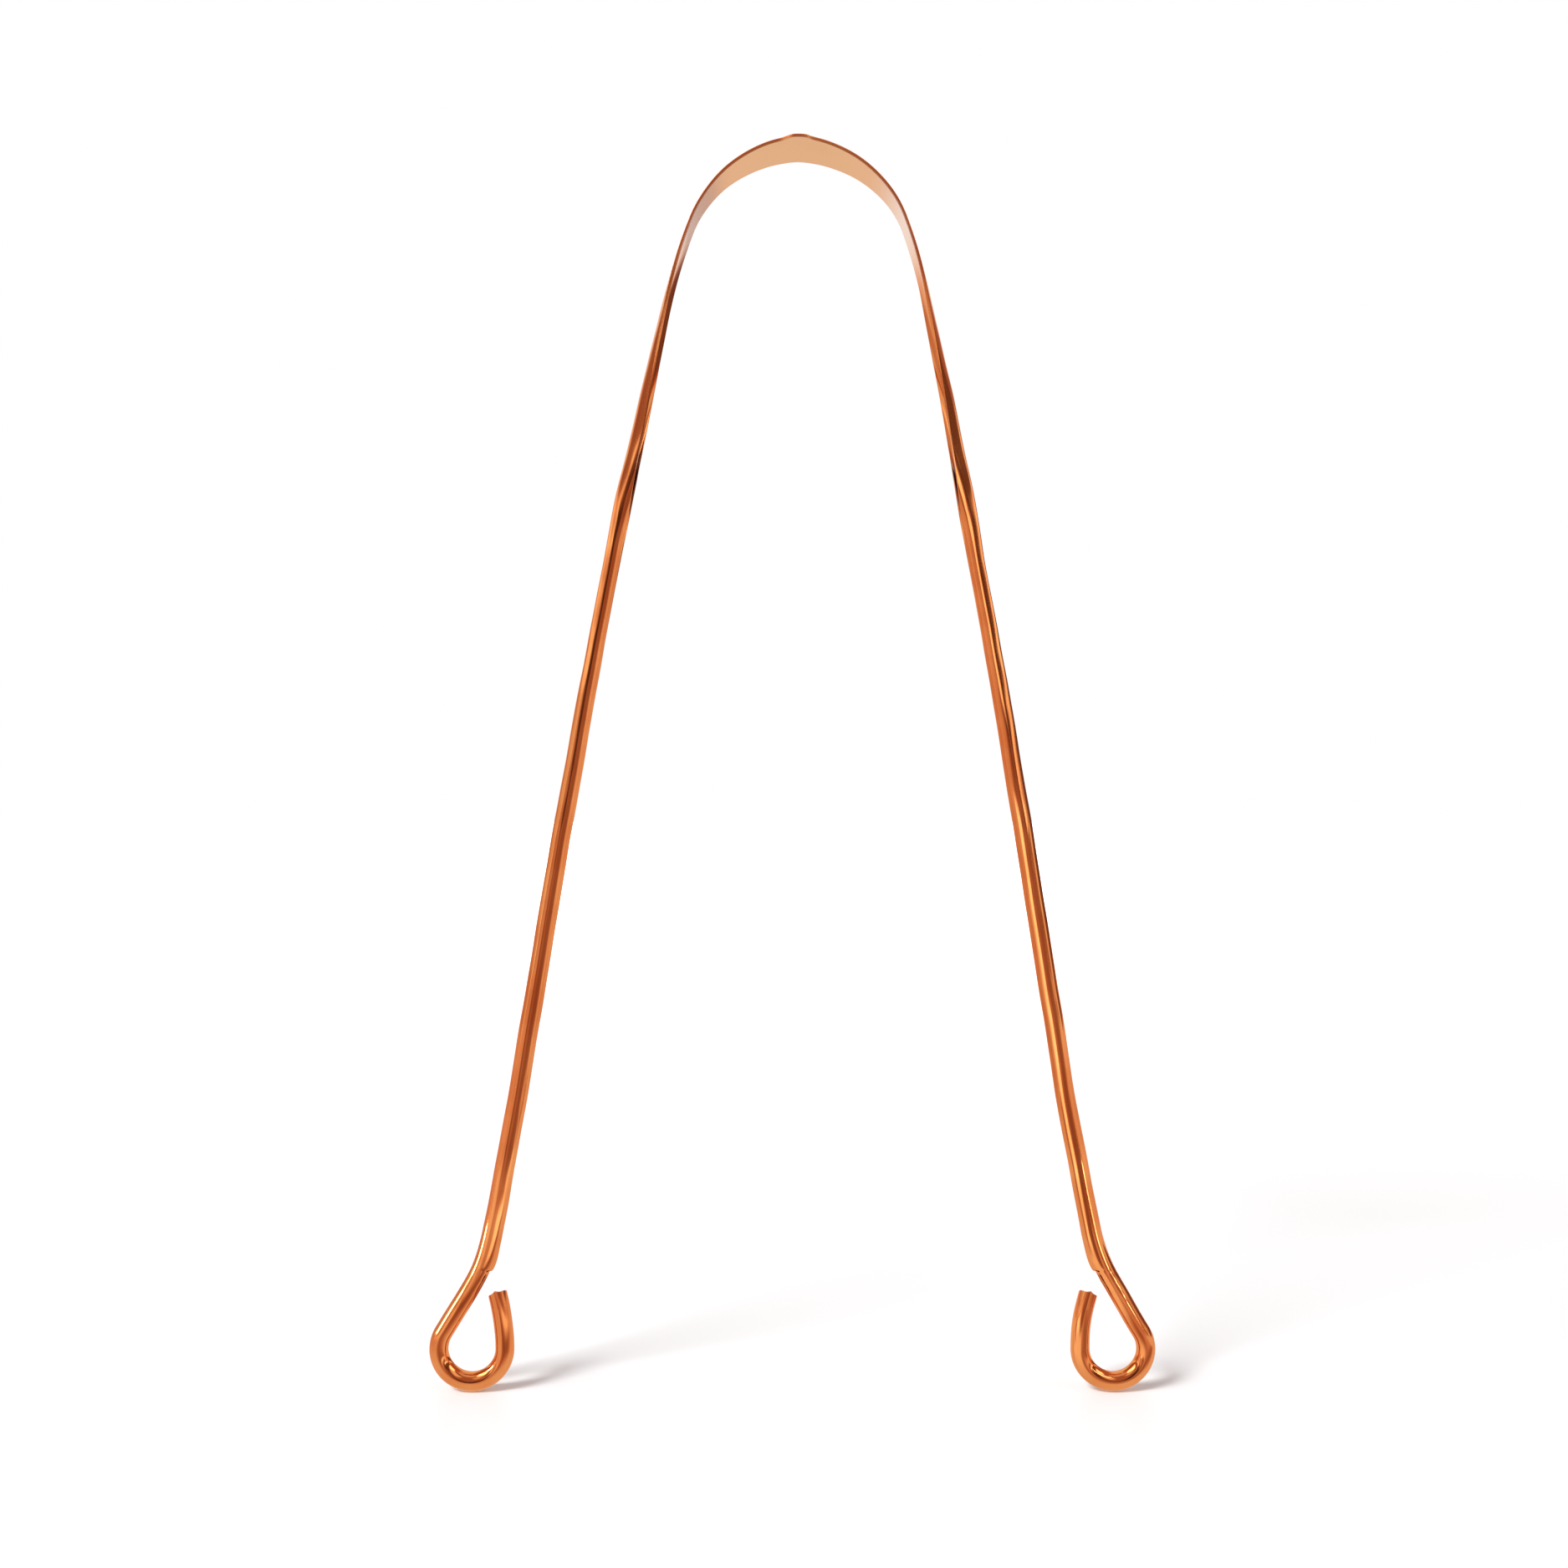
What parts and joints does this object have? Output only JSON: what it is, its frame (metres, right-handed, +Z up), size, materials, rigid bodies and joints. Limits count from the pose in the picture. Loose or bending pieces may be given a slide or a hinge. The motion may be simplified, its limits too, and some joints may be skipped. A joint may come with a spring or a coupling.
{
  "type": "tongue scraper",
  "caption": "Springy U-shaped tongue scraper bent from a copper strip: flat curved blade, rolled arms and a small open loop at the end of each arm.",
  "frame": {"origin": "on the ground under the middle of the bow, midway between the two loops that it stands on", "axes": "+X across the arms, +Y from the front of the blade to its back, +Z up to the top of the bow"},
  "size_m": [0.0874, 0.008, 0.15],
  "materials": {
    "polished_copper": null
  },
  "bodies": {
    "blade": {"scraping_blade": "polished_copper"},
    "left_side": {"left_shoulder": "polished_copper", "left_arm": "polished_copper", "left_finger_loop": "polished_copper"},
    "right_side": {"right_shoulder": "polished_copper", "right_arm": "polished_copper", "right_finger_loop": "polished_copper"}
  },
  "joints": [
    {"name": "left_flex", "type": "hinge", "parent": "blade", "child": "left_side", "pos_m": [-0.0099, 0, 0.1457], "axis": [0, -1, 0], "range_deg": [-8, 11], "stiffness_Nm_per_rad": 0.25},
    {"name": "right_flex", "type": "hinge", "parent": "blade", "child": "right_side", "pos_m": [0.0099, 0, 0.1457], "axis": [0, 1, 0], "range_deg": [-8, 11], "stiffness_Nm_per_rad": 0.25}
  ]
}
